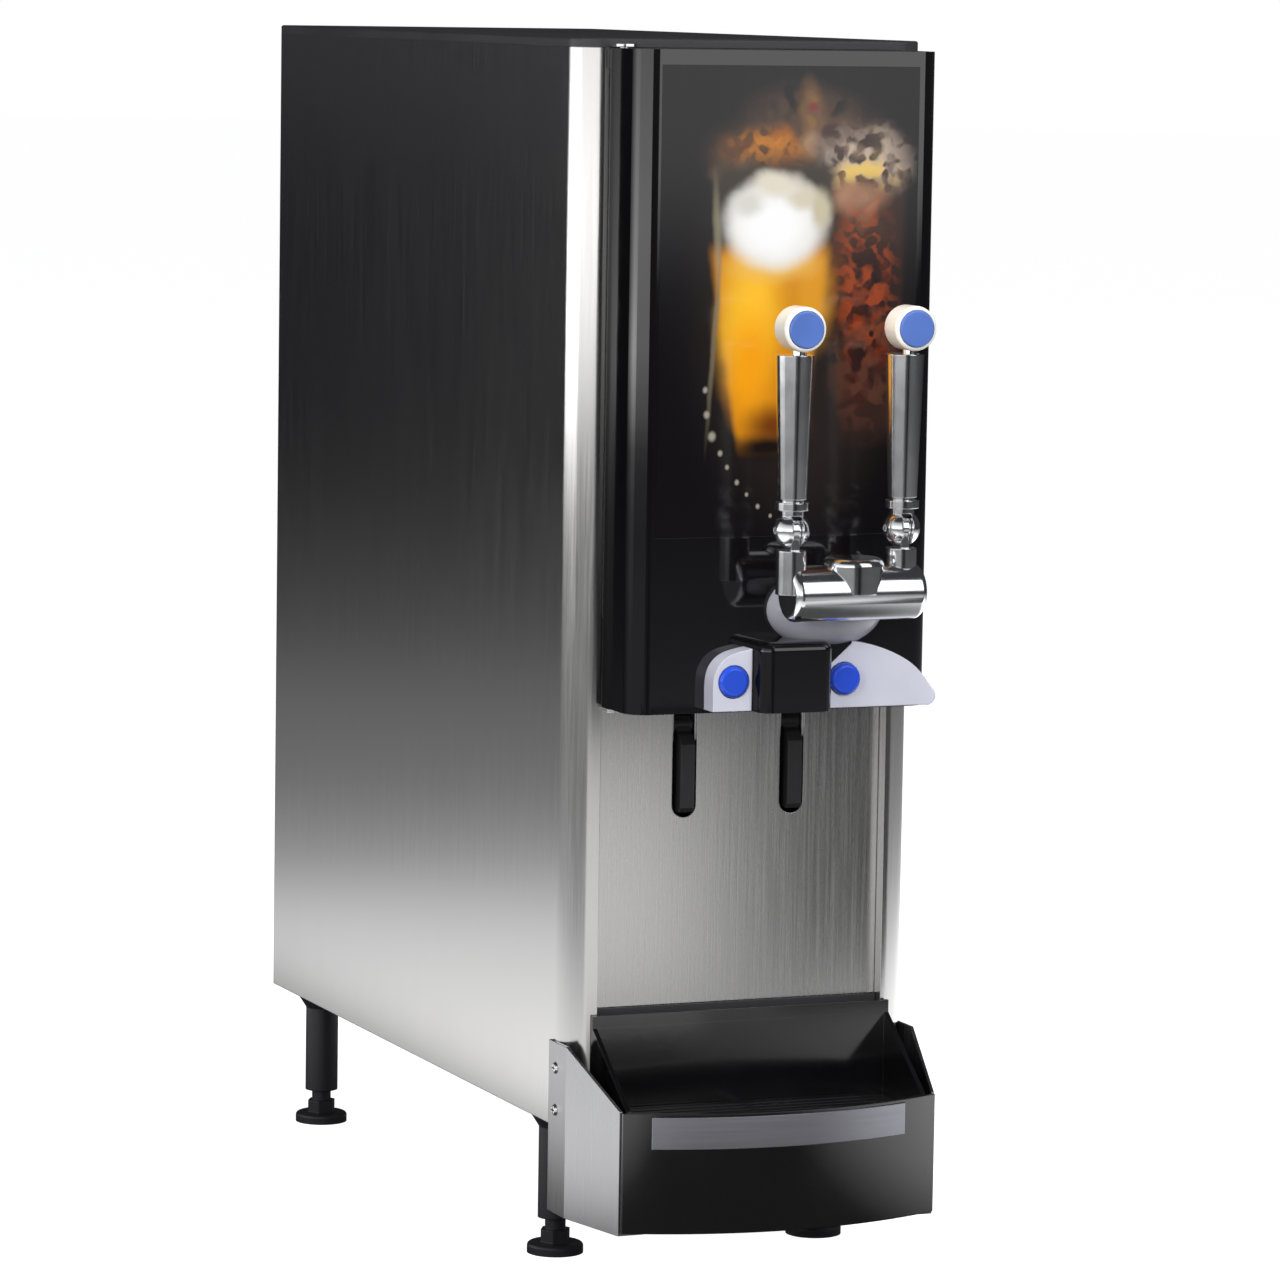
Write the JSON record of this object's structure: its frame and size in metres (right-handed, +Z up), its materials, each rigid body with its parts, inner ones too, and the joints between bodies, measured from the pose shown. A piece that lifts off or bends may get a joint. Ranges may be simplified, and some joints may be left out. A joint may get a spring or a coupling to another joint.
{
  "type": "fountain soda dispenser",
  "caption": "Tall narrow counter-top cold drink dispenser with stainless cabinet, gloss black picture door, chrome pull taps, cup levers, bow-front drip tray and levelling legs.",
  "frame": {"origin": "on the counter under the middle of the overall box", "axes": "+Z up, the door and tray face -Y, +X is the right side seen from the front"},
  "size_m": [0.2536, 0.716, 0.813],
  "materials": {
    "stainless": "vertical brushed stainless",
    "zinc_sheet": "plain steel sheet",
    "black_cap": "fine moulded grain",
    "door_black": "polished piano black",
    "picture": "clear acrylic with a printed and lit picture of two cold drinks",
    "lamp_board": "white board",
    "white_liner": "white moulded liner",
    "rubber": "soft black seal",
    "apron_pale": "pale lavender-grey moulding",
    "pod_grey": "satin grey",
    "chrome": "bright chrome",
    "cream": "cream moulding",
    "blue": "blue enamel look",
    "switch_black": "moulded black",
    "leg_black": "satin black",
    "tray_black": "semi-gloss black",
    "silver_band": "plain satin silver film",
    "enamel_black": "black enamel",
    "aluminium": "mill finish",
    "fan_black": "moulded",
    "bottle": "milky plastic bottles",
    "pump_grey": "moulded grey",
    "roller_white": "natural plastic",
    "brass": "plain brass",
    "clear_tube": "milky tube",
    "copper": "copper"
  },
  "bodies": {
    "cabinet": {"base_pan": "zinc_sheet", "side_panel_left": "stainless", "side_panel_right": "stainless", "top_panel": "black_cap", "rear_panel": "zinc_sheet", "front_frame": "black_cap", "splash_panel": "stainless", "lower_front_panel": "black_cap", "cold_liner": "white_liner", "hinge_brackets": "zinc_sheet", "legs": "leg_black", "nozzles": "black_cap", "lever_bracket": "zinc_sheet", "tray_cheek_left": "stainless", "tray_cheek_right": "stainless", "screws": "zinc_sheet", "compressor": "enamel_black", "condenser": "aluminium", "fan_motor": "aluminium", "containers": "bottle", "pump_heads": "pump_grey", "control_box": "aluminium", "solenoid_valves": "brass", "tubing": "clear_tube", "cooling_coil": "copper", "water_inlet": "brass", "power_inlet": "black_cap"},
    "door": {"door_shell": "door_black", "graphic_panel": "picture", "light_board": "lamp_board", "door_liner": "white_liner", "door_gasket": "rubber", "apron": "apron_pale", "nozzle_hood": "door_black", "escutcheon": "pod_grey", "button_switches": "switch_black", "tap_body": "chrome", "handle_pins": "chrome"},
    "lock": {"lock_barrel": "chrome"},
    "handle_left": {"tap_handle_left": "chrome", "badge_cap_left": "cream", "badge_left": "blue"},
    "handle_right": {"tap_handle_right": "chrome", "badge_cap_right": "cream", "badge_right": "blue"},
    "button_left": {"push_button_left": "blue"},
    "button_right": {"push_button_right": "blue"},
    "lever_left": {"cup_lever_left": "switch_black"},
    "lever_right": {"cup_lever_right": "switch_black"},
    "tray": {"drip_tray": "tray_black", "tray_label": "silver_band"},
    "grille": {"cup_grille": "tray_black"},
    "fan": {"fan_blade": "fan_black"},
    "rotor_left": {"pump_rotor_left": "roller_white"},
    "rotor_right": {"pump_rotor_right": "roller_white"},
    "rocker": {"rocker_switch": "black_cap"},
    "foot_front_left": {"foot_front_left": "leg_black"},
    "foot_front_right": {"foot_front_right": "leg_black"},
    "foot_rear_left": {"foot_rear_left": "leg_black"},
    "foot_rear_right": {"foot_rear_right": "leg_black"}
  },
  "joints": [
    {"name": "door_swing", "type": "hinge", "parent": "cabinet", "child": "door", "pos_m": [-0.097, -0.244, 0.594], "axis": [0, 0, -1], "range_deg": [0, 95]},
    {"name": "lock_turn", "type": "hinge", "parent": "door", "child": "lock", "pos_m": [0.1, -0.259, 0.416], "axis": [1, 0, 0], "range_deg": [0, 90]},
    {"name": "tap_pull_left", "type": "hinge", "parent": "door", "child": "handle_left", "pos_m": [-0.015, -0.338, 0.503], "axis": [1, 0, 0], "range_deg": [0, 30], "stiffness_Nm_per_rad": 0.9, "springref_deg": -8.59},
    {"name": "tap_pull_right", "type": "hinge", "parent": "door", "child": "handle_right", "pos_m": [0.062, -0.338, 0.503], "axis": [1, 0, 0], "range_deg": [0, 30], "stiffness_Nm_per_rad": 0.9, "springref_deg": -8.59},
    {"name": "button_press_left", "type": "slide", "parent": "door", "child": "button_left", "axis": [0, 1, 0], "range_m": [0, 0.003], "stiffness_N_per_m": 300, "springref_m": -0.002},
    {"name": "lever_push_left", "type": "hinge", "parent": "cabinet", "child": "lever_left", "pos_m": [-0.0385, -0.214, 0.364], "axis": [1, 0, 0], "range_deg": [0, 8], "stiffness_Nm_per_rad": 0.4, "springref_deg": -11.46},
    {"name": "button_press_right", "type": "slide", "parent": "door", "child": "button_right", "axis": [0, 1, 0], "range_m": [0, 0.003], "stiffness_N_per_m": 300, "springref_m": -0.002},
    {"name": "lever_push_right", "type": "hinge", "parent": "cabinet", "child": "lever_right", "pos_m": [0.0385, -0.214, 0.364], "axis": [1, 0, 0], "range_deg": [0, 8], "stiffness_Nm_per_rad": 0.4, "springref_deg": -11.46},
    {"name": "tray_slide", "type": "slide", "parent": "cabinet", "child": "tray", "axis": [0, -1, 0], "range_m": [0, 0.095]},
    {"name": "grille_lift", "type": "slide", "parent": "tray", "child": "grille", "axis": [0, 0, 1], "range_m": [0, 0.06]},
    {"name": "fan_spin", "type": "hinge", "parent": "cabinet", "child": "fan", "pos_m": [0, 0.283, 0.218], "axis": [0, 1, 0], "continuous": true},
    {"name": "pump_turn_left", "type": "hinge", "parent": "cabinet", "child": "rotor_left", "pos_m": [-0.043, -0.196, 0.482], "axis": [0, 1, 0], "continuous": true},
    {"name": "pump_turn_right", "type": "hinge", "parent": "cabinet", "child": "rotor_right", "pos_m": [0.043, -0.196, 0.482], "axis": [0, 1, 0], "continuous": true},
    {"name": "mains_rocker", "type": "hinge", "parent": "cabinet", "child": "rocker", "pos_m": [-0.025, 0.3445, 0.38], "axis": [1, 0, 0], "range_deg": [0, 12]},
    {"name": "foot_turn_front_left", "type": "hinge", "parent": "cabinet", "child": "foot_front_left", "pos_m": [-0.095, -0.148, 0.03], "axis": [0, 0, 1], "continuous": true},
    {"name": "foot_turn_front_right", "type": "hinge", "parent": "cabinet", "child": "foot_front_right", "pos_m": [0.095, -0.148, 0.03], "axis": [0, 0, 1], "continuous": true},
    {"name": "foot_turn_rear_left", "type": "hinge", "parent": "cabinet", "child": "foot_rear_left", "pos_m": [-0.095, 0.327, 0.03], "axis": [0, 0, 1], "continuous": true},
    {"name": "foot_turn_rear_right", "type": "hinge", "parent": "cabinet", "child": "foot_rear_right", "pos_m": [0.095, 0.327, 0.03], "axis": [0, 0, 1], "continuous": true}
  ]
}
